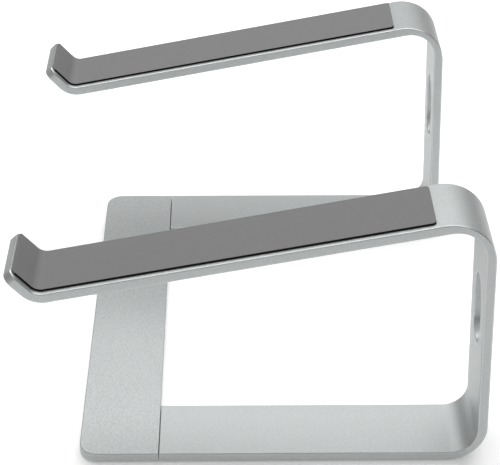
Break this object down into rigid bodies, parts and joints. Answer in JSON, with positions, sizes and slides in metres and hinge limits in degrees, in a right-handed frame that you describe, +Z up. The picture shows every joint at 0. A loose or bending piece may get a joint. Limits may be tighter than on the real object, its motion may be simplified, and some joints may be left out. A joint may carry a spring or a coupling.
{
  "type": "laptop stand",
  "caption": "Bent flat-bar laptop stand with two open side arms, hooked front lips, soft pads and a screwed base plate.",
  "frame": {"origin": "on the desk plane under the feet, at the centre of the stand's outline seen from above", "axes": "+X to the user's right, +Y to the rear, +Z up"},
  "size_m": [0.26, 0.2386, 0.1419],
  "materials": {
    "aluminium": "bead-blasted and clear anodised, fine satin grain",
    "silicone": "matte mid grey silicone",
    "rubber": "matte black rubber",
    "steel": "plated countersunk machine screw"
  },
  "bodies": {
    "root": {"base_plate": "aluminium", "left_arm": "aluminium", "left_pad": "silicone", "left_front_foot": "rubber", "left_rear_foot": "rubber", "left_inner_screw": "steel", "left_outer_screw": "steel", "right_arm": "aluminium", "right_pad": "silicone", "right_front_foot": "rubber", "right_rear_foot": "rubber", "right_inner_screw": "steel", "right_outer_screw": "steel"}
  },
  "joints": []
}
